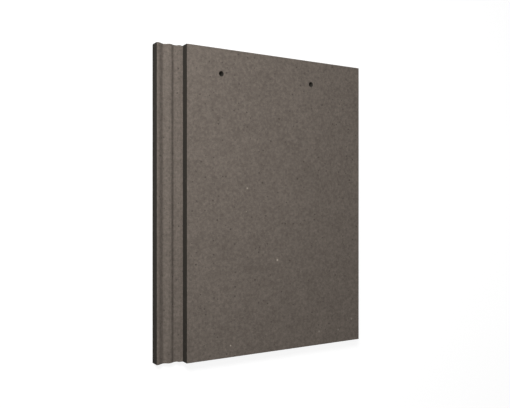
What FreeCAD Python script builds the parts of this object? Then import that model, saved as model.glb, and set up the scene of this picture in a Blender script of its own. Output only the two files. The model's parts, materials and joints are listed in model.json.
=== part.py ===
import FreeCAD, Part

import math
import os

Vector = FreeCAD.Vector

# A flat interlocking concrete roof tile, all in millimetres. It is worked out lying level:
# x runs across it from the outer edge of the underlock, y up the roof from the tail edge,
# and z upwards from the plane its runners bear on. The finished tile is then laid on the
# floor on its own two nibs and its tail edge.

# Overall sizes
tile_length = 420.0
tile_width = 330.0
tile_depth = 28.5
side_joint = 2.0
body_thickness = 17.5

# Underlock along the left side, one step after another from the outer edge to the face
underlock_height = 15.7
outer_rib_width = 3.6
outer_channel_fall = 6.3
outer_channel_floor = 2.3
outer_channel_rise = 4.8
outer_channel_depth = 4.0
middle_rib_width = 4.0
middle_rib_drop = 0.7
inner_channel_fall = 4.2
inner_channel_floor = 3.8
inner_channel_rise = 3.2
inner_channel_depth = 3.8
shelf_width = 4.8
shelf_drop = 0.3

# Overlock under the right side, which covers the next tile's underlock with these gaps
lock_lift = 1.5
lock_side_gap = 1.5

# Runners either side of the pan that lightens the underside
left_runner_width = 44.0
right_runner_width = 14.5
runner_draft = 4.0

# Tail: three bars that bear on the course below and keep out driven rain
tail_bar_width = 6.5
tail_groove_width = 5.0
tail_groove_depth = 5.0

# Nibs that hang over the batten
nib_width = 40.0
nib_foot = 13.0
nib_drop = 12.0
nib_draft = 2.5
nib_corner = 1.5

# Batten that the nibs hang over, and the nails driven into the middle of it. Nibs and nails
# share two lines set a little left of the tile's middle.
batten_width = 38.0
nail_spacing = 150.0
nail_offset = 1.5
nail_hole_diameter = 6.6
nail_rim_radius = 1.6

# Rounding of the long arrises, of the underlock's waves and of the cut ends
arris_radius = 0.8
edge_radius = 0.7
channel_radius = 1.5
outer_rib_radius = 7.0
middle_rib_radius = 4.0
root_radius = 2.0
cut_end_radius = 1.0

# How far the bars and nibs run up into the body, and the nail holes' cutters above it
root_overlap = 1.0

# Dependent places
underlock_width = (
    outer_rib_width
    + outer_channel_fall
    + outer_channel_floor
    + outer_channel_rise
    + middle_rib_width
    + inner_channel_fall
    + inner_channel_floor
    + inner_channel_rise
    + shelf_width
)
cover_width = tile_width - underlock_width + side_joint
shelf_height = underlock_height - shelf_drop
middle_rib_height = underlock_height - middle_rib_drop
outer_floor_height = underlock_height - outer_channel_depth
inner_floor_height = underlock_height - inner_channel_depth
pan_height = tile_depth - body_thickness
pan_left = left_runner_width
right_runner_outer = cover_width - lock_side_gap
pan_right = right_runner_outer - right_runner_width
nib_front = tile_length - nib_foot - nib_draft
nail_line = nib_front - batten_width / 2
tail_bars_length = 3 * tail_bar_width + 2 * tail_groove_width

# Lying angle: the tail edge and the nibs' rounded toes rest on one floor
toe_angle = math.pi / 2 + math.atan2(nib_draft, nib_drop)
toe_centre_y = tile_length - nib_foot + nib_corner / math.tan(toe_angle / 2)
toe_centre_z = nib_corner - nib_drop
toe_reach = math.hypot(toe_centre_y, toe_centre_z)
tilt = math.atan2(-toe_centre_z, toe_centre_y) + math.asin(nib_corner / toe_reach)


def underlock_steps():
    """Corners of the underlock's top, from its outer edge to the face, as (x, z, rounding)."""
    runs = (
        (outer_rib_width, underlock_height, outer_rib_radius),
        (outer_channel_fall, outer_floor_height, channel_radius),
        (outer_channel_floor, outer_floor_height, channel_radius),
        (outer_channel_rise, middle_rib_height, channel_radius),
        (middle_rib_width, middle_rib_height, middle_rib_radius),
        (inner_channel_fall, inner_floor_height, channel_radius),
        (inner_channel_floor, inner_floor_height, channel_radius),
        (inner_channel_rise, shelf_height, channel_radius),
        (shelf_width, shelf_height, 0.0),
    )
    corners = [(0.0, underlock_height, edge_radius)]
    x = 0.0
    for run, height, rounding in runs:
        x += run
        corners.append((x, height, rounding))
    return corners


def overlock_steps():
    """Corners of the overlock's underside from the right edge back to the runner.

    It follows the top of the next tile's underlock, lifted clear of it.
    """
    covered = [
        (cover_width + x, height + lock_lift, rounding)
        for x, height, rounding in underlock_steps()[1:]
        if cover_width + x < tile_width
    ]
    inner_end = (right_runner_outer, underlock_height + lock_lift, edge_radius)
    outer_end = (tile_width, shelf_height + lock_lift, edge_radius)
    return [outer_end] + covered[::-1] + [inner_end]


def section_corners():
    """Corners of the tile's cross-section, clockwise seen from the tail."""
    underlock = [(0.0, 0.0, edge_radius)] + underlock_steps()
    face = [
        (underlock_width, tile_depth, arris_radius),
        (tile_width, tile_depth, arris_radius),
    ]
    right_runner = [(right_runner_outer, 0.0, edge_radius), (pan_right, 0.0, edge_radius)]
    pan = [
        (pan_right - runner_draft, pan_height, root_radius),
        (pan_left + runner_draft, pan_height, root_radius),
        (pan_left, 0.0, edge_radius),
    ]
    return underlock + face + overlock_steps() + right_runner + pan


def corner_arc(before, corner, after, radius):
    """Start, middle and end of the arc that rounds one corner of a flat outline."""
    to_before = (before - corner).normalize()
    to_after = (after - corner).normalize()
    half_angle = to_before.getAngle(to_after) / 2
    setback = radius / math.tan(half_angle)
    bisector = (to_before + to_after).normalize()
    centre = corner + bisector * (radius / math.sin(half_angle))
    return corner + to_before * setback, centre - bisector * radius, corner + to_after * setback


def rounded_face(corners):
    """Flat face from (point, radius) corners, where a radius of 0 stays sharp."""
    edges = []
    joints = []
    for index, (point, radius) in enumerate(corners):
        before = corners[index - 1][0]
        after = corners[(index + 1) % len(corners)][0]
        if radius:
            joints.append(corner_arc(before, point, after, radius))
        else:
            joints.append((point, point, point))
    for index, (start, middle, end) in enumerate(joints):
        if not start.isEqual(end, 1e-7):
            edges.append(Part.Arc(start, middle, end).toShape())
        following = joints[(index + 1) % len(joints)][0]
        edges.append(Part.makeLine(end, following))
    return Part.Face(Part.Wire(edges))


def make_length():
    """The section run along the whole tile: underlock, face, overlock, runners and pan."""
    outline = [(Vector(x, 0, z), rounding) for x, z, rounding in section_corners()]
    return rounded_face(outline).extrude(Vector(0, tile_length, 0))


def make_tail_bars():
    """Block across the pan at the tail, grooved into three bars."""
    flank = runner_draft / 2
    width = pan_right - pan_left + 2 * flank
    height = pan_height + root_overlap
    block = Part.makeBox(width, tail_bars_length, height, Vector(pan_left - flank, 0, 0))
    pitch = tail_bar_width + tail_groove_width
    for start in (tail_bar_width, tail_bar_width + pitch):
        groove = Part.makeBox(
            pan_right - pan_left, tail_groove_width, tail_groove_depth, Vector(pan_left, start, 0)
        )
        block = block.cut(groove)
    return block


def make_nib(centre_x):
    """One nib, wider and deeper at its root than at its foot, flush with the head edge."""
    top = pan_height + root_overlap
    spread = nib_draft * (top + nib_drop) / nib_drop
    half = nib_width / 2
    toe = tile_length - nib_foot
    from_side = [
        (Vector(0, toe, -nib_drop), nib_corner),
        (Vector(0, tile_length, -nib_drop), 0.0),
        (Vector(0, tile_length, top), 0.0),
        (Vector(0, toe - spread, top), 0.0),
    ]
    from_end = [
        (Vector(centre_x - half, 0, -nib_drop), nib_corner),
        (Vector(centre_x + half, 0, -nib_drop), nib_corner),
        (Vector(centre_x + half + spread, 0, top), 0.0),
        (Vector(centre_x - half - spread, 0, top), 0.0),
    ]
    across = rounded_face(from_side).extrude(Vector(tile_width, 0, 0))
    along = rounded_face(from_end).extrude(Vector(0, tile_length, 0))
    return across.common(along)


def make_nail_hole(centre_x):
    """Hole through the head of the tile, square to the face, with a rounded rim at the face."""
    radius = nail_hole_diameter / 2
    outside = radius + 2 * nail_rim_radius
    above = tile_depth + root_overlap
    half_profile = [
        (Vector(centre_x, nail_line, 0), 0.0),
        (Vector(centre_x + radius, nail_line, 0), 0.0),
        (Vector(centre_x + radius, nail_line, tile_depth), nail_rim_radius),
        (Vector(centre_x + outside, nail_line, tile_depth), 0.0),
        (Vector(centre_x + outside, nail_line, above), 0.0),
        (Vector(centre_x, nail_line, above), 0.0),
    ]
    axis_foot = Vector(centre_x, nail_line, 0)
    return rounded_face(half_profile).revolve(axis_foot, Vector(0, 0, 1), 360)


def round_cut_ends(tile):
    """Rounds the face's arris where the tile is cut at the tail and the head."""
    low = -nib_drop
    corners = [
        (Vector(0, 0, low), 0.0),
        (Vector(0, tile_length, low), 0.0),
        (Vector(0, tile_length, tile_depth), cut_end_radius),
        (Vector(0, 0, tile_depth), cut_end_radius),
    ]
    return tile.common(rounded_face(corners).extrude(Vector(tile_width, 0, 0)))


def make_tile():
    """The whole tile, level, in its own axes."""
    middle = tile_width / 2 - nail_offset
    sides = (middle - nail_spacing / 2, middle + nail_spacing / 2)
    tile = make_length().fuse(make_tail_bars())
    for centre_x in sides:
        tile = tile.fuse(make_nib(centre_x))
    for centre_x in sides:
        tile = tile.cut(make_nail_hole(centre_x))
    return round_cut_ends(tile).removeSplitter()


def lay_on_floor(tile):
    """Tips the tile on to its nibs and tail edge, and centres it over the origin."""
    tile.rotate(Vector(0, 0, 0), Vector(1, 0, 0), math.degrees(tilt))
    box = tile.optimalBoundingBox()
    tile.translate(Vector(-box.Center.x, -box.Center.y, -box.ZMin))
    return tile


def main():
    """Builds the tile and writes it out."""
    os.makedirs("parts", exist_ok=True)
    tile = lay_on_floor(make_tile())
    tile.exportStep("parts/roof_tile.step")


main()
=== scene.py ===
import json
import logging
import math
from dataclasses import dataclass, field
from enum import Enum

import bmesh
import bpy
from mathutils import Matrix, Vector
from mathutils.kdtree import KDTree


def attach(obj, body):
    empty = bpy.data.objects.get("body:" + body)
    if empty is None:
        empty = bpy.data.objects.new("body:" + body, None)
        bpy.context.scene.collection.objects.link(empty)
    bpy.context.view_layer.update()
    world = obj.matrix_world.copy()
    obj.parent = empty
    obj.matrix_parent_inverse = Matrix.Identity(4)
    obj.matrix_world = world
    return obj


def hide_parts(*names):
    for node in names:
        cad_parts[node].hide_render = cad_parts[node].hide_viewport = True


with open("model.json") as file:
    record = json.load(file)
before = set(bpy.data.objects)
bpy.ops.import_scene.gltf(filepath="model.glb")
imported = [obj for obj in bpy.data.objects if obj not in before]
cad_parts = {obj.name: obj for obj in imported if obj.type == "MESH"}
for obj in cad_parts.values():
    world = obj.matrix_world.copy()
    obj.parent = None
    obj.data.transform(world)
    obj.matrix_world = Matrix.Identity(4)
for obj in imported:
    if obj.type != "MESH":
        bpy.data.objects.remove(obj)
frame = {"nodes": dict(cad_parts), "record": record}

# A flat interlocking concrete roof tile, lying on its nibs and tail edge on a pale
# floor. The CAD node gives its shape. This script adds what a hand and an eye find on
# the real thing: the slight waviness of pressed concrete, worn arrises, sand and pits.
# Its colour also carries painted shade: a dark colour on the side walls, the step's
# wall and the nail holes' walls, and a darker colour in the pits.
#
# Places on the tile are given in millimetres along its own axes: x across from the
# outer edge of the underlock, y up from the tail edge, z up from the plane that its
# runners bear on.

MM = 0.001
NODE = "roof_tile"
TILE_LENGTH = 420.0
TILE_WIDTH = 330.0
TILE_DEPTH = 28.5
UNDERLOCK_WIDTH = 37.0
NAIL_SPACING = 150.0
NAIL_RADIUS = 3.3
# Midway between the two nail holes, level with the foot of their rounded rims
NAIL_MIDDLE = (163.5, 385.5, 26.9)

log = logging.getLogger("roof_tile")


class Attr(Enum):
    """Named attributes that the mesh carries for the relief and the material."""

    PLACE = "tile_mm"
    ARRIS = "arris"
    # Faces that the material darkens with painted shade: side walls, the step's wall
    # and the nail holes' walls
    SIDE = "side"


def linear(hex_code: str) -> tuple[float, float, float, float]:
    """Turns an sRGB hex colour into the linear colour that Blender's sockets expect.

    Args:
        hex_code: Six hex digits after a "#".

    Returns:
        Linear red, green, blue and an alpha of 1.
    """
    shown = [int(hex_code[i : i + 2], 16) / 255 for i in (1, 3, 5)]
    red, green, blue = (
        c / 12.92 if c <= 0.04045 else ((c + 0.055) / 1.055) ** 2.4 for c in shown
    )
    return red, green, blue, 1.0


def add_node(
    tree: bpy.types.NodeTree,
    kind: str,
    settings: dict[str, object] | None = None,
    inputs: dict[str | int, object] | None = None,
) -> bpy.types.Node:
    """Adds a node, sets its properties, and fills or links its inputs.

    Args:
        tree: The node tree to add to.
        kind: The node's type name.
        settings: Properties of the node, by name.
        inputs: Values or output sockets, by input name or number.

    Returns:
        The new node.
    """
    node = tree.nodes.new(kind)
    for name, value in (settings or {}).items():
        setattr(node, name, value)
    for key, value in (inputs or {}).items():
        if isinstance(value, bpy.types.NodeSocket):
            tree.links.new(value, node.inputs[key])
        else:
            node.inputs[key].default_value = value
    return node


def calculate(
    tree: bpy.types.NodeTree, operation: str, *values: bpy.types.NodeSocket | float
) -> bpy.types.NodeSocket:
    """Adds one step of arithmetic.

    Args:
        tree: The node tree to add to.
        operation: What is worked out, such as "MULTIPLY".
        values: The numbers or output sockets it is worked out from, in order.

    Returns:
        The result.
    """
    numbered = dict(enumerate(values))
    node = add_node(tree, "ShaderNodeMath", {"operation": operation}, numbered)
    return node.outputs["Value"]


def fade(
    tree: bpy.types.NodeTree,
    value: bpy.types.NodeSocket,
    near: float,
    far: float,
    strength: float = 1.0,
) -> bpy.types.NodeSocket:
    """Adds a smooth fall from a strength to nothing as a value grows.

    Args:
        tree: The node tree to add to.
        value: What grows, such as a distance.
        near: The value up to which the strength is full.
        far: The value from which nothing is left.
        strength: The full strength.

    Returns:
        The strength left.
    """
    node = add_node(
        tree,
        "ShaderNodeMapRange",
        {"interpolation_type": "SMOOTHSTEP"},
        {
            "Value": value,
            "From Min": near,
            "From Max": far,
            "To Min": strength,
            "To Max": 0.0,
        },
    )
    return node.outputs["Result"]


def arrange(
    tree: bpy.types.NodeTree, column_width: float = 220.0, row_height: float = 260.0
) -> None:
    """Lays a tree's nodes out in columns, each to the right of what feeds it.

    Args:
        tree: The finished node tree.
        column_width: The distance between columns.
        row_height: The distance between the nodes of a column.
    """
    columns: dict[str, int] = {}

    def column(node: bpy.types.Node) -> int:
        """Counts the nodes in the longest run that leads to a node.

        Args:
            node: A node of the tree.

        Returns:
            0 for a node that nothing feeds, and one more than its last feed otherwise.
        """
        if node.name not in columns:
            columns[node.name] = 0
            feeds = [link.from_node for socket in node.inputs for link in socket.links]
            columns[node.name] = 1 + max((column(feed) for feed in feeds), default=-1)
        return columns[node.name]

    filled: dict[int, int] = {}
    for node in tree.nodes:
        place = column(node)
        filled[place] = filled.get(place, 0) + 1
        node.location = (place * column_width, -filled[place] * row_height)


@dataclass(frozen=True)
class TileAxes:
    """The tile's own axes as it lies, in the row frame.

    Attributes:
        origin: The place on the tile at 0, 0, 0, in metres.
        x: The direction across the tile, from the underlock to the overlock.
        y: The direction up the tile, from the tail to the head.
        z: The direction out of the face.
    """

    origin: Vector
    x: Vector
    y: Vector
    z: Vector

    @classmethod
    def from_record(cls, record: dict) -> "TileAxes":
        """Works the axes out from the nail holes, which are square to the face.

        Args:
            record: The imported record.

        Returns:
            The tile's axes.
        """
        nails = next(m for m in record["mounts"] if m["name"] == "nail_holes")
        z = Vector(nails["axis"]).normalized()
        x = Vector((1.0, 0.0, 0.0))
        y = z.cross(x).normalized()
        centre = Vector(nails["pos_m"])
        across, along, up = NAIL_MIDDLE
        origin = centre - (x * across + y * along + z * up) * MM
        return cls(origin, x, y, z)

    def point(self, x: float, y: float, z: float) -> Vector:
        """Finds a place on the tile in the row frame.

        Args:
            x: Millimetres across the tile.
            y: Millimetres up from the tail.
            z: Millimetres above the runners' bearing plane.

        Returns:
            The point in metres.
        """
        return self.origin + self.direction(x, y, z) * MM

    def direction(self, x: float, y: float, z: float) -> Vector:
        """Turns a direction in the tile's axes into the row frame.

        Args:
            x: Its part across the tile.
            y: Its part up the tile.
            z: Its part out of the face.

        Returns:
            The same direction in the row frame, as long as it was given.
        """
        return self.x * x + self.y * y + self.z * z

    def place(self, point: Vector) -> Vector:
        """Finds where a point of the row frame is on the tile.

        Args:
            point: The point in metres.

        Returns:
            Its place in the tile's axes in millimetres.
        """
        away = (point - self.origin) / MM
        return Vector((away.dot(self.x), away.dot(self.y), away.dot(self.z)))


@dataclass(frozen=True)
class Mottle:
    """One layer of uneven tone or height.

    Attributes:
        size: The size of its features in millimetres.
        detail: How many finer layers it carries.
        roughness: How strong those layers are.
    """

    size: float
    detail: float
    roughness: float


@dataclass(frozen=True)
class Specks:
    """Scattered spots, such as pits or sand grains that show.

    Attributes:
        spacing: The mean distance between the places that may hold one, in millimetres.
        core: The radius of a spot's full part, as a share of the spacing.
        reach: The radius at which it has faded, as a share of the spacing.
        empty: The share of places that stay empty.
    """

    spacing: float
    core: float
    reach: float
    empty: float


@dataclass(frozen=True)
class PaleGrains:
    """Larger pale grains that show in the face.

    Attributes:
        places: Where they are, in millimetres across and along the tile.
        core: The radius of a grain's full part in millimetres.
        reach: The radius at which it has faded, in millimetres.
        strength: How much of the grain's own colour shows.
    """

    places: tuple[tuple[float, float], ...] = (
        (253.0, 20.0),
        (289.0, 19.0),
        (315.0, 33.0),
    )
    core: float = 0.3
    reach: float = 2.3
    strength: float = 0.45


@dataclass(frozen=True)
class RoofConcrete:
    """Pressed, through-coloured roof concrete: brown-grey, matt, sandy and pitted."""

    name: str = "roof_concrete"
    # Cement paste between dry pale patches and damp dark ones
    body: str = "#675F58"
    pale: str = "#776E66"
    dark: str = "#57504A"
    # Painted shade: the side walls, the step's wall and the nail holes' walls take this
    # dark colour in place of their shade
    side: str = "#3B3833"
    # Painted shade: the pits take this darker colour in place of their shade
    painted_pit_shade: str = "#49433E"
    quartz: str = "#A39A8E"
    # Coarse and fine sand mottle the paste, and clouds shift it over a few centimetres
    grain: Mottle = Mottle(3.8, 3.0, 0.62)
    fine: Mottle = Mottle(1.3, 2.0, 0.6)
    cloud: Mottle = Mottle(22.0, 3.0, 0.55)
    fine_share: float = 0.35
    tone_range: tuple[float, float] = (0.3, 0.7)
    cloud_tint: tuple[float, float] = (0.94, 1.06)
    # Grit is felt more than seen: it only breaks up the light
    grit: Mottle = Mottle(0.7, 2.0, 0.7)
    # Pinholes left by air, darkened with painted shade, and single grains of quartz
    pits: Specks = Specks(6.5, 0.06, 0.2, 0.6)
    quartz_specks: Specks = Specks(26.0, 0.02, 0.05, 0.75)
    pale_grains: PaleGrains = PaleGrains()
    # Dry and matt, with grains that stand up about as far as the pits go in
    roughness: float = 0.9
    specular: float = 0.1
    bump: float = 0.22
    fine_height: float = 0.5
    grit_height: float = 0.45
    pit_height: float = -0.9

    def build(self) -> bpy.types.Material:
        """Builds the material.

        Returns:
            The concrete material.
        """
        material = bpy.data.materials.new(self.name)
        material.use_nodes = True
        tree = material.node_tree
        tree.nodes.clear()
        place = add_node(
            tree, "ShaderNodeAttribute", {"attribute_name": Attr.PLACE.value}
        ).outputs["Vector"]
        grain = self.mottle(tree, place, self.grain)
        fine = self.mottle(tree, place, self.fine)
        pits = self.specks(tree, place, self.pits)
        height = self.height(tree, place, grain, fine, pits)
        bump = add_node(
            tree,
            "ShaderNodeBump",
            inputs={"Height": height, "Distance": self.bump * MM, "Strength": 1.0},
        )
        shader = add_node(
            tree,
            "ShaderNodeBsdfPrincipled",
            inputs={
                "Base Color": self.colour(tree, place, grain, fine, pits),
                "Roughness": self.roughness,
                "Specular IOR Level": self.specular,
                "Normal": bump.outputs["Normal"],
            },
        )
        add_node(
            tree, "ShaderNodeOutputMaterial", inputs={"Surface": shader.outputs["BSDF"]}
        )
        arrange(tree)
        return material

    @staticmethod
    def mottle(
        tree: bpy.types.NodeTree, place: bpy.types.NodeSocket, look: Mottle
    ) -> bpy.types.NodeSocket:
        """Adds one layer of mottling.

        Args:
            tree: The material's tree.
            place: The place on the tile, in millimetres.
            look: The layer's size and roughness.

        Returns:
            The tone, from 0 to 1 about a mean of a half.
        """
        node = add_node(
            tree,
            "ShaderNodeTexNoise",
            inputs={
                "Vector": place,
                "Scale": 1 / look.size,
                "Detail": look.detail,
                "Roughness": look.roughness,
            },
        )
        return node.outputs["Fac"]

    def specks(
        self, tree: bpy.types.NodeTree, place: bpy.types.NodeSocket, look: Specks
    ) -> bpy.types.NodeSocket:
        """Adds scattered spots with wavering outlines and many sizes.

        Args:
            tree: The material's tree.
            place: The place on the tile, in millimetres.
            look: The spots' spacing, size and number.

        Returns:
            1 inside a spot and 0 outside.
        """
        waver = add_node(
            tree,
            "ShaderNodeTexNoise",
            inputs={"Vector": place, "Scale": 1 / self.grit.size, "Detail": 1.0},
        )
        bent = add_node(
            tree,
            "ShaderNodeVectorMath",
            {"operation": "MULTIPLY_ADD"},
            {0: waver.outputs["Color"], 1: (self.grit.size,) * 3, 2: place},
        )
        cells = add_node(
            tree,
            "ShaderNodeTexVoronoi",
            inputs={"Vector": bent.outputs["Vector"], "Scale": 1 / look.spacing},
        ).outputs
        draw = add_node(
            tree, "ShaderNodeSeparateColor", inputs={"Color": cells["Color"]}
        ).outputs
        size = calculate(tree, "ADD", draw["Green"], 0.5)
        away = calculate(tree, "DIVIDE", cells["Distance"], size)
        spot = fade(tree, away, look.core, look.reach)
        present = calculate(tree, "GREATER_THAN", draw["Red"], look.empty)
        return calculate(tree, "MULTIPLY", spot, present)

    def paste(
        self,
        tree: bpy.types.NodeTree,
        place: bpy.types.NodeSocket,
        grain: bpy.types.NodeSocket,
        fine: bpy.types.NodeSocket,
    ) -> bpy.types.NodeSocket:
        """Mixes the colour of the paste and its sand.

        Args:
            tree: The material's tree.
            place: The place on the tile, in millimetres.
            grain: The coarse sand's mottling.
            fine: The fine sand's mottling.

        Returns:
            The colour before skin, pits and pale grains.
        """
        low, high = self.tone_range
        sand = add_node(
            tree,
            "ShaderNodeMix",
            {"data_type": "FLOAT"},
            {"Factor": self.fine_share, "A": grain, "B": fine},
        ).outputs[0]
        ramp = add_node(tree, "ShaderNodeValToRGB", inputs={"Fac": sand})
        stops = ramp.color_ramp.elements
        stops[0].position, stops[0].color = low, linear(self.dark)
        stops[1].position, stops[1].color = high, linear(self.pale)
        stops.new((low + high) / 2).color = linear(self.body)
        tint = add_node(
            tree,
            "ShaderNodeMapRange",
            inputs={
                "Value": self.mottle(tree, place, self.cloud),
                "From Min": low,
                "From Max": high,
                "To Min": self.cloud_tint[0],
                "To Max": self.cloud_tint[1],
            },
        ).outputs["Result"]
        tinted = add_node(
            tree,
            "ShaderNodeVectorMath",
            {"operation": "SCALE"},
            {0: ramp.outputs["Color"], "Scale": tint},
        )
        return tinted.outputs["Vector"]

    def colour(
        self,
        tree: bpy.types.NodeTree,
        place: bpy.types.NodeSocket,
        grain: bpy.types.NodeSocket,
        fine: bpy.types.NodeSocket,
        pits: bpy.types.NodeSocket,
    ) -> bpy.types.NodeSocket:
        """Lays painted shade on the side and hole walls and in the pits, and the pale
        grains, over the paste.

        Args:
            tree: The material's tree.
            place: The place on the tile, in millimetres.
            grain: The coarse sand's mottling.
            fine: The fine sand's mottling.
            pits: Where pits are, which painted shade darkens.

        Returns:
            The base colour.
        """
        # Painted shade: the side walls, the step's wall and the nail holes' walls are
        # darkened
        wall_shade_mask = add_node(
            tree, "ShaderNodeAttribute", {"attribute_name": Attr.SIDE.value}
        ).outputs["Fac"]
        shown = self.over(tree, self.paste(tree, place, grain, fine), self.side, wall_shade_mask)
        # Painted shade: the pits are darkened
        shown = self.over(tree, shown, self.painted_pit_shade, pits)
        quartz = self.specks(tree, place, self.quartz_specks)
        shown = self.over(tree, shown, self.quartz, quartz)
        for across, along in self.pale_grains.places:
            pale = self.pale_grain(tree, place, across, along)
            shown = self.over(tree, shown, self.quartz, pale)
        return shown

    def pale_grain(
        self,
        tree: bpy.types.NodeTree,
        place: bpy.types.NodeSocket,
        across: float,
        along: float,
    ) -> bpy.types.NodeSocket:
        """Adds one larger pale grain that shows in the face.

        Args:
            tree: The material's tree.
            place: The place on the tile, in millimetres.
            across: The grain's place across the tile, in millimetres.
            along: Its place along the tile, in millimetres.

        Returns:
            How much of the grain's colour shows.
        """
        away = add_node(
            tree,
            "ShaderNodeVectorMath",
            {"operation": "DISTANCE"},
            {0: place, 1: (across, along, TILE_DEPTH)},
        ).outputs["Value"]
        look = self.pale_grains
        return fade(tree, away, look.core, look.reach, look.strength)

    @staticmethod
    def over(
        tree: bpy.types.NodeTree,
        below: bpy.types.NodeSocket,
        hex_code: str,
        mask: bpy.types.NodeSocket,
    ) -> bpy.types.NodeSocket:
        """Lays one colour over another.

        Args:
            tree: The material's tree.
            below: The colour that is covered.
            hex_code: The sRGB colour that covers it.
            mask: How far it covers, from 0 to 1.

        Returns:
            The mixed colour.
        """
        mix = add_node(
            tree,
            "ShaderNodeMix",
            {"data_type": "RGBA"},
            {"Factor": mask, "A": below, "B": linear(hex_code)},
        )
        return mix.outputs["Result"]

    def height(
        self,
        tree: bpy.types.NodeTree,
        place: bpy.types.NodeSocket,
        grain: bpy.types.NodeSocket,
        fine: bpy.types.NodeSocket,
        pits: bpy.types.NodeSocket,
    ) -> bpy.types.NodeSocket:
        """Adds up the skin's fine height, where grains stand up and pits go in.

        Args:
            tree: The material's tree.
            place: The place on the tile, in millimetres.
            grain: The coarse sand's mottling.
            fine: The fine sand's mottling.
            pits: Where pits are.

        Returns:
            The height, in multiples of the bump's distance.
        """
        grit = self.mottle(tree, place, self.grit)
        coarse = calculate(tree, "MULTIPLY_ADD", fine, self.fine_height, grain)
        sand = calculate(tree, "MULTIPLY_ADD", grit, self.grit_height, coarse)
        return calculate(tree, "MULTIPLY_ADD", pits, self.pit_height, sand)


@dataclass(frozen=True)
class ReliefInput:
    """One named number that the relief reads.

    Attributes:
        name: Its name on the node group.
        value: Its value: millimetres for a size, metres for a depth.
    """

    name: str
    value: float


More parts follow.
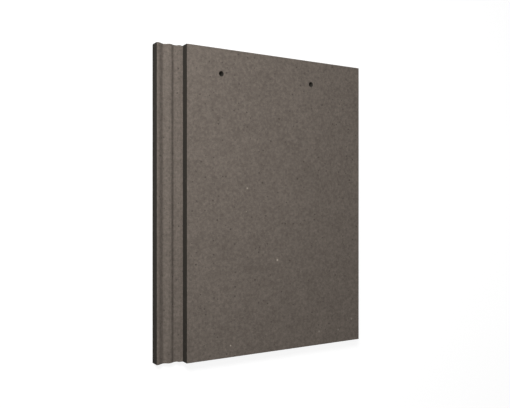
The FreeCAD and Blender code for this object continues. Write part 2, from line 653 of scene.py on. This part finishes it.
@dataclass(frozen=True)
class Relief:
    """Geometry Nodes that take waves, grains and worn arrises off the surface.

    Everything goes inwards, so the tile never grows past its real size.

    Attributes:
        inputs: The numbers that the node group reads.
        detail: How many finer layers each unevenness carries.
        worn_range: The noise at which wear starts, and at which it is full.
    """

    inputs: tuple[ReliefInput, ...] = (
        ReliefInput("Seed", 4.0),
        ReliefInput("Wave Size", 70.0),
        ReliefInput("Wave Depth", 0.18 * MM),
        ReliefInput("Grain Size", 5.5),
        ReliefInput("Grain Depth", 0.06 * MM),
        ReliefInput("Wear Size", 6.0),
        ReliefInput("Wear Depth", 0.5 * MM),
    )
    detail: float = 2.0
    worn_range: tuple[float, float] = (0.45, 0.75)

    def build(self, material: bpy.types.Material) -> bpy.types.GeometryNodeTree:
        """Builds the node group.

        Args:
            material: What the finished surface is made of.

        Returns:
            The Geometry Nodes group.
        """
        tree = bpy.data.node_groups.new("tile_relief", "GeometryNodeTree")
        sockets = [("Geometry", "INPUT", "NodeSocketGeometry")]
        sockets += [(entry.name, "INPUT", "NodeSocketFloat") for entry in self.inputs]
        sockets += [("Geometry", "OUTPUT", "NodeSocketGeometry")]
        for name, side, kind in sockets:
            tree.interface.new_socket(name=name, in_out=side, socket_type=kind)
        given = add_node(tree, "NodeGroupInput").outputs
        place = self.attribute(tree, Attr.PLACE, "FLOAT_VECTOR")
        waves = self.depth(tree, place, given, "Wave")
        grains = self.depth(tree, place, given, "Grain")
        rough = calculate(tree, "ADD", waves, grains)
        taken = calculate(tree, "ADD", rough, self.wear(tree, place, given))
        offset = add_node(
            tree,
            "ShaderNodeVectorMath",
            {"operation": "SCALE"},
            {
                0: add_node(tree, "GeometryNodeInputNormal").outputs["Normal"],
                "Scale": calculate(tree, "MULTIPLY", taken, -1.0),
            },
        ).outputs["Vector"]
        moved = add_node(
            tree,
            "GeometryNodeSetPosition",
            inputs={"Geometry": given["Geometry"], "Offset": offset},
        ).outputs["Geometry"]
        real = add_node(
            tree, "GeometryNodeRealizeInstances", inputs={"Geometry": moved}
        ).outputs["Geometry"]
        finished = add_node(
            tree,
            "GeometryNodeSetMaterial",
            inputs={"Geometry": real, "Material": material},
        ).outputs["Geometry"]
        add_node(tree, "NodeGroupOutput", inputs={"Geometry": finished})
        arrange(tree)
        return tree

    @staticmethod
    def attribute(
        tree: bpy.types.NodeTree, attr: Attr, data_type: str
    ) -> bpy.types.NodeSocket:
        """Reads one of the mesh's named attributes.

        Args:
            tree: The relief's tree.
            attr: The attribute.
            data_type: What kind of value it holds.

        Returns:
            Its value at each point.
        """
        node = add_node(
            tree,
            "GeometryNodeInputNamedAttribute",
            {"data_type": data_type},
            {"Name": attr.value},
        )
        return node.outputs["Attribute"]

    def noise(
        self,
        tree: bpy.types.NodeTree,
        place: bpy.types.NodeSocket,
        given: bpy.types.bpy_prop_collection,
        kind: str,
    ) -> bpy.types.NodeSocket:
        """Adds noise over the tile for one kind of unevenness.

        Args:
            tree: The relief's tree.
            place: The place on the tile, in millimetres.
            given: The group's inputs.
            kind: "Wave", "Grain" or "Wear", whose size input is read.

        Returns:
            The noise, from 0 to 1 about a mean of a half.
        """
        node = add_node(
            tree,
            "ShaderNodeTexNoise",
            {"noise_dimensions": "4D"},
            {
                "Vector": place,
                "W": given["Seed"],
                "Scale": calculate(tree, "DIVIDE", 1.0, given[f"{kind} Size"]),
                "Detail": self.detail,
            },
        )
        return node.outputs["Fac"]

    def depth(
        self,
        tree: bpy.types.NodeTree,
        place: bpy.types.NodeSocket,
        given: bpy.types.bpy_prop_collection,
        kind: str,
    ) -> bpy.types.NodeSocket:
        """Works out how far one kind of unevenness goes in.

        Args:
            tree: The relief's tree.
            place: The place on the tile, in millimetres.
            given: The group's inputs.
            kind: "Wave" or "Grain", whose size and depth inputs are read.

        Returns:
            The depth in metres.
        """
        noise = self.noise(tree, place, given, kind)
        return calculate(tree, "MULTIPLY", noise, given[f"{kind} Depth"])

    def wear(
        self,
        tree: bpy.types.NodeTree,
        place: bpy.types.NodeSocket,
        given: bpy.types.bpy_prop_collection,
    ) -> bpy.types.NodeSocket:
        """Works out how far the arrises are rubbed and chipped back.

        Args:
            tree: The relief's tree.
            place: The place on the tile, in millimetres.
            given: The group's inputs.

        Returns:
            The depth in metres, which is 0 away from the arrises.
        """
        patches = add_node(
            tree,
            "ShaderNodeMapRange",
            {"interpolation_type": "SMOOTHSTEP"},
            {
                "Value": self.noise(tree, place, given, "Wear"),
                "From Min": self.worn_range[0],
                "From Max": self.worn_range[1],
            },
        ).outputs["Result"]
        arris = self.attribute(tree, Attr.ARRIS, "FLOAT")
        near = calculate(tree, "MULTIPLY", patches, arris)
        return calculate(tree, "MULTIPLY", near, given["Wear Depth"])

    def apply(self, piece: bpy.types.Object, material: bpy.types.Material) -> None:
        """Runs the relief on a piece and leaves it as a plain mesh.

        Args:
            piece: The object whose mesh is refined and carries the attributes.
            material: What the finished surface is made of.
        """
        modifier = piece.modifiers.new("relief", "NODES")
        tree = self.build(material)
        modifier.node_group = tree
        wanted = {entry.name: entry.value for entry in self.inputs}
        for item in tree.interface.items_tree:
            if item.in_out == "INPUT" and item.name in wanted:
                modifier[item.identifier] = wanted[item.name]
        bpy.context.view_layer.update()
        graph = bpy.context.evaluated_depsgraph_get()
        finished = bpy.data.meshes.new_from_object(piece.evaluated_get(graph))
        piece.modifiers.remove(modifier)
        rough = piece.data
        piece.data = finished
        bpy.data.meshes.remove(rough)


@dataclass(frozen=True)
class RefinedMesh:
    """The CAD node's surface, cut into cells small enough to take relief.

    Lengths are in millimetres.

    Attributes:
        axes: The tile's axes.
        cell: The cells' size on the face.
        edge_cuts: Extra cuts at these distances from each wall, where arrises bend.
        merge_gap: Points closer than this are one.
        cut_gap: A point this near a cutting plane lies on it.
        flat_within: Neighbouring faces this close in direction become one.
        sharp: The least angle of an edge that counts as an arris.
        arris_reach: How far from an arris its wear fades.
        side_lean: How nearly a side wall faces across the tile, as a cosine.
        steep: The most that a hole's wall faces up or down, as a cosine.
        hole_margin: How far outside a hole its rim still counts as wall.
    """

    axes: TileAxes
    cell: float = 2.8
    edge_cuts: tuple[float, ...] = (0.5, 1.2, 2.0)
    merge_gap: float = 0.005
    cut_gap: float = 0.01
    flat_within: float = math.radians(0.4)
    sharp: float = math.radians(15)
    arris_reach: float = 1.6
    side_lean: float = 0.93
    steep: float = 0.6
    hole_margin: float = 0.3

    def build(self, source: bpy.types.Mesh) -> bpy.types.Mesh:
        """Copies, merges and cuts the surface, and writes its attributes.

        Args:
            source: The CAD node's mesh, which is left alone.

        Returns:
            A new mesh.
        """
        work = bmesh.new()
        work.from_mesh(source)
        bmesh.ops.remove_doubles(work, verts=work.verts, dist=self.merge_gap * MM)
        bmesh.ops.dissolve_limit(
            work, angle_limit=self.flat_within, verts=work.verts, edges=work.edges
        )
        arrises = self.arrises(work)
        for normal, stops in self.cuts():
            self.cut(work, normal, stops)
        bmesh.ops.triangulate(work, faces=[f for f in work.faces if len(f.verts) > 4])
        work.verts.index_update()
        points = [v.co.copy() for v in work.verts]
        faces = [[v.index for v in f.verts] for f in work.faces]
        work.free()
        mesh = bpy.data.meshes.new("roof_tile_surface")
        mesh.from_pydata(points, [], faces)
        self.write_attributes(mesh, arrises)
        return mesh

    def arrises(self, work: bmesh.types.BMesh) -> KDTree:
        """Collects points along every outward edge.

        Args:
            work: The merged surface.

        Returns:
            A search tree over points about a millimetre apart, in metres.
        """
        points = []
        for edge in work.edges:
            if not edge.is_manifold or edge.calc_face_angle_signed() < self.sharp:
                continue
            start, end = (v.co for v in edge.verts)
            count = max(1, round((end - start).length / MM))
            points += [start.lerp(end, i / count) for i in range(count + 1)]
        tree = KDTree(len(points))
        for index, point in enumerate(points):
            tree.insert(point, index)
        tree.balance()
        return tree

    def cuts(self) -> list[tuple[Vector, list[float]]]:
        """Lists the planes that cut the surface into cells.

        Returns:
            For each of the tile's axes, its direction and the places to cut at.
        """
        across = self.stops(TILE_WIDTH, (0.0, UNDERLOCK_WIDTH, TILE_WIDTH))
        along = self.stops(TILE_LENGTH, (0.0, TILE_LENGTH))
        up = self.stops(TILE_DEPTH, ())
        return [(self.axes.x, across), (self.axes.y, along), (self.axes.z, up)]

    def stops(self, length: float, walls: tuple[float, ...]) -> list[float]:
        """Spaces cuts evenly over a length, and closer beside each wall.

        Args:
            length: The length to cut up, in millimetres.
            walls: Where walls meet it, in millimetres from its start.

        Returns:
            The places to cut at, in millimetres from its start.
        """
        count = math.ceil(length / self.cell)
        even = [length * i / count for i in range(1, count)]
        close = [w + s * c for w in walls for c in self.edge_cuts for s in (-1, 1)]
        reach = max(self.edge_cuts) + self.cell / 2
        clear = [e for e in even if all(abs(e - w) > reach for w in walls)]
        return sorted(clear + [c for c in close if 0 < c < length])

    def cut(self, work: bmesh.types.BMesh, normal: Vector, stops: list[float]) -> None:
        """Cuts the surface along parallel planes.

        Args:
            work: The merged surface.
            normal: The direction that the planes face.
            stops: How far along it each plane lies, in millimetres.
        """
        for stop in stops:
            bmesh.ops.bisect_plane(
                work,
                geom=work.verts[:] + work.edges[:] + work.faces[:],
                dist=self.cut_gap * MM,
                plane_co=self.axes.origin + normal * stop * MM,
                plane_no=normal,
            )

    def write_attributes(self, mesh: bpy.types.Mesh, arrises: KDTree) -> None:
        """Stores where each point is, how near an arris, and which faces are side or
        hole walls that get painted shade.

        Args:
            mesh: The cut surface.
            arrises: Points along every outward edge.
        """
        points = [vertex.co.copy() for vertex in mesh.vertices]
        places = [part for point in points for part in self.axes.place(point)]
        gaps = [arrises.find(point)[2] / (self.arris_reach * MM) for point in points]
        place = mesh.attributes.new(Attr.PLACE.value, "FLOAT_VECTOR", "POINT")
        place.data.foreach_set("vector", places)
        near = mesh.attributes.new(Attr.ARRIS.value, "FLOAT", "POINT")
        near.data.foreach_set("value", [math.exp(-(gap**2)) for gap in gaps])
        # The faces that painted shade darkens
        side = mesh.attributes.new(Attr.SIDE.value, "FLOAT", "FACE")
        side.data.foreach_set("value", [self.side(face) for face in mesh.polygons])

    def side(self, face: bpy.types.MeshPolygon) -> float:
        """Picks out the side walls and nail-hole walls, which get painted shade, from
        the rest.

        Args:
            face: One face of the cut surface.

        Returns:
            1 on the tile's side walls, on the step's wall and inside the nail holes,
            where shade is painted.
        """
        if abs(face.normal.dot(self.axes.x)) > self.side_lean:
            return 1.0
        across, along, _ = self.axes.place(face.center)
        gap = abs(across - NAIL_MIDDLE[0]) - NAIL_SPACING / 2
        away = math.hypot(gap, along - NAIL_MIDDLE[1])
        inside = away < NAIL_RADIUS + self.hole_margin
        steep = abs(face.normal.dot(self.axes.z)) < self.steep
        return float(inside and steep)


@dataclass(frozen=True)
class TilePiece:
    """The visible tile, which stands for the CAD node.

    Attributes:
        axes: The tile's axes.
        finish: What it is made of.
        relief: How uneven and worn it is.
        smooth_below: The least angle between faces that shows as an edge.
    """

    axes: TileAxes
    finish: RoofConcrete = field(default_factory=RoofConcrete)
    relief: Relief = field(default_factory=Relief)
    smooth_below: float = math.radians(50)

    def build(self, source: bpy.types.Object) -> bpy.types.Object:
        """Args:
            source: The CAD node.

        Returns:
            The visible piece.
        """
        mesh = RefinedMesh(self.axes).build(source.data)
        piece = bpy.data.objects.new("tile_body", mesh)
        bpy.context.scene.collection.objects.link(piece)
        self.relief.apply(piece, self.finish.build())
        piece.data.shade_smooth()
        piece.data.set_sharp_from_angle(angle=self.smooth_below)
        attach(piece, "root")
        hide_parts(NODE)
        piece.data.calc_loop_triangles()
        log.info("%s: %d triangles", piece.name, len(piece.data.loop_triangles))
        return piece


@dataclass(frozen=True)
class Lamp:
    """One soft round lamp, with its lengths in millimetres.

    Attributes:
        name: The lamp's name.
        place: Where it is, in the tile's axes.
        aim: What it points at, in the tile's axes.
        size: Its width.
        watts: Its power.
        spread: The angle that its light fills.
    """

    name: str
    place: tuple[float, float, float]
    aim: tuple[float, float, float]
    size: float
    watts: float
    spread: float = math.radians(180)

    @classmethod
    def fill(
        cls,
        name: str,
        place: tuple[float, float, float],
        aim: tuple[float, float, float],
    ) -> "Lamp":
        """Describes a low, weak lamp that lifts a side turned away from the key.

        Args:
            name: The lamp's name.
            place: Where it is.
            aim: What it points at.

        Returns:
            The lamp.
        """
        return cls(name, place, aim, size=500.0, watts=1.5, spread=math.radians(110))

    def build(self, axes: TileAxes) -> bpy.types.Object:
        """Makes the lamp.

        Args:
            axes: The tile's axes.

        Returns:
            The lamp object.
        """
        data = bpy.data.lights.new(self.name, "AREA")
        data.shape = "DISK"
        data.size = self.size * MM
        data.energy = self.watts
        data.spread = self.spread
        lamp = bpy.data.objects.new(self.name, data)
        lamp.location = axes.point(*self.place)
        towards = axes.point(*self.aim) - lamp.location
        lamp.rotation_mode = "QUATERNION"
        lamp.rotation_quaternion = towards.to_track_quat("-Z", "Y")
        bpy.context.scene.collection.objects.link(lamp)
        return lamp


@dataclass(frozen=True)
class Studio:
    """Pale floor, pale surroundings and soft lamps.

    Attributes:
        axes: The tile's axes.
        floor_size: The floor's width in metres.
        floor_glow: How bright the floor looks by itself.
        floor_grey: How much lamplight it shows besides, which keeps the tile's shadow.
        bounce: How much lamplight it throws back at the tile.
        ambient: How bright the surroundings are to the tile.
        lamps: The lamps.
    """

    axes: TileAxes
    floor_size: float = 12.0
    floor_glow: float = 0.9
    floor_grey: float = 0.2
    bounce: float = 0.03
    ambient: float = 0.04
    lamps: tuple[Lamp, ...] = (
        Lamp("key", (-402.0, 593.0, 852.0), (165.0, 210.0, 26.5), 300.0, 12.9),
        Lamp.fill("fill_right", (1300.0, 210.0, 60.0), (330.0, 210.0, 15.0)),
        Lamp.fill("fill_tail", (165.0, -1000.0, 60.0), (165.0, 0.0, 15.0)),
        Lamp.fill("fill_head", (165.0, 1400.0, 60.0), (165.0, 420.0, 15.0)),
    )

    def build(self) -> None:
        """Makes the floor, the world and the lamps."""
        self.floor()
        self.world()
        for lamp in self.lamps:
            lamp.build(self.axes)

    @staticmethod
    def seen_directly(tree: bpy.types.NodeTree) -> bpy.types.NodeSocket:
        """Tells what is looked at from what only lights the tile.

        Args:
            tree: The floor's or the world's tree.

        Returns:
            1 for what is seen straight, in a mirror or through glass, and 0 otherwise.
        """
        path = add_node(tree, "ShaderNodeLightPath").outputs
        turned = calculate(
            tree, "MAXIMUM", path["Is Glossy Ray"], path["Is Transmission Ray"]
        )
        return calculate(tree, "MAXIMUM", path["Is Camera Ray"], turned)

    def floor(self) -> bpy.types.Object:
        """Makes a floor that looks white, keeps a shadow and throws little light back.

        Returns:
            The floor.
        """
        material = bpy.data.materials.new("pale_floor")
        material.use_nodes = True
        tree = material.node_tree
        tree.nodes.clear()
        lit, quiet = (
            add_node(
                tree, "ShaderNodeBsdfDiffuse", inputs={"Color": (grey, grey, grey, 1.0)}
            ).outputs["BSDF"]
            for grey in (self.floor_grey, self.bounce)
        )
        glow = add_node(
            tree,
            "ShaderNodeEmission",
            inputs={"Color": linear("#FFFFFF"), "Strength": self.floor_glow},
        ).outputs["Emission"]
        shown = add_node(
            tree, "ShaderNodeAddShader", inputs={0: lit, 1: glow}
        ).outputs["Shader"]
        both = add_node(
            tree,
            "ShaderNodeMixShader",
            inputs={0: self.seen_directly(tree), 1: quiet, 2: shown},
        ).outputs["Shader"]
        add_node(tree, "ShaderNodeOutputMaterial", inputs={"Surface": both})
        arrange(tree)
        half = self.floor_size / 2
        signs = ((-1, -1), (1, -1), (1, 1), (-1, 1))
        corners = [(x * half, y * half, 0.0) for x, y in signs]
        mesh = bpy.data.meshes.new("floor")
        mesh.from_pydata(corners, [], [(0, 1, 2, 3)])
        mesh.materials.append(material)
        floor = bpy.data.objects.new("floor", mesh)
        bpy.context.scene.collection.objects.link(floor)
        return floor

    def world(self) -> None:
        """Makes surroundings that look white and light the tile only a little."""
        world = bpy.data.worlds.new("surroundings")
        world.use_nodes = True
        tree = world.node_tree
        tree.nodes.clear()
        faint, shown = (
            add_node(
                tree,
                "ShaderNodeBackground",
                inputs={"Color": linear("#FFFFFF"), "Strength": strength},
            ).outputs["Background"]
            for strength in (self.ambient, 1.0)
        )
        both = add_node(
            tree,
            "ShaderNodeMixShader",
            inputs={0: self.seen_directly(tree), 1: faint, 2: shown},
        ).outputs["Shader"]
        add_node(tree, "ShaderNodeOutputWorld", inputs={"Surface": both})
        arrange(tree)
        bpy.context.scene.world = world


@dataclass(frozen=True)
class Viewpoint:
    """Camera left of the tile, level with its mid-length, looking down and across.

    Attributes:
        axes: The tile's axes.
        place: Where the camera is, in millimetres.
        turn: How far it looks round from straight down on the face towards the right.
        lens: Its focal length in millimetres.
        sensor: Its sensor's width in millimetres.
        near: The nearest that it sees, in millimetres.
    """

    axes: TileAxes
    place: tuple[float, float, float] = (-322.0, 209.4, 788.1)
    turn: float = math.radians(31.38)
    lens: float = 45.01
    sensor: float = 36.0
    near: float = 10.0

    def build(self) -> bpy.types.Object:
        """Makes the camera and gives it to the scene.

        Returns:
            The camera object.
        """
        data = bpy.data.cameras.new("camera")
        data.lens = self.lens
        data.sensor_width = self.sensor
        data.clip_start = self.near * MM
        camera = bpy.data.objects.new("camera", data)
        bpy.context.scene.collection.objects.link(camera)
        right = self.axes.direction(math.cos(self.turn), 0.0, math.sin(self.turn))
        back = self.axes.direction(-math.sin(self.turn), 0.0, math.cos(self.turn))
        turned = Matrix((right, self.axes.y, back)).transposed().to_4x4()
        camera.matrix_world = Matrix.Translation(self.axes.point(*self.place)) @ turned
        bpy.context.scene.camera = camera
        return camera


def main() -> None:
    """Builds the tile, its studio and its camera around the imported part."""
    logging.basicConfig(level=logging.INFO, format="%(name)s: %(message)s")
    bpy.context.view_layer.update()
    axes = TileAxes.from_record(frame["record"])
    TilePiece(axes).build(frame["nodes"][NODE])
    Studio(axes).build()
    Viewpoint(axes).build()
    bpy.context.scene.view_settings.view_transform = "Standard"


if __name__ == "__main__":
    main()
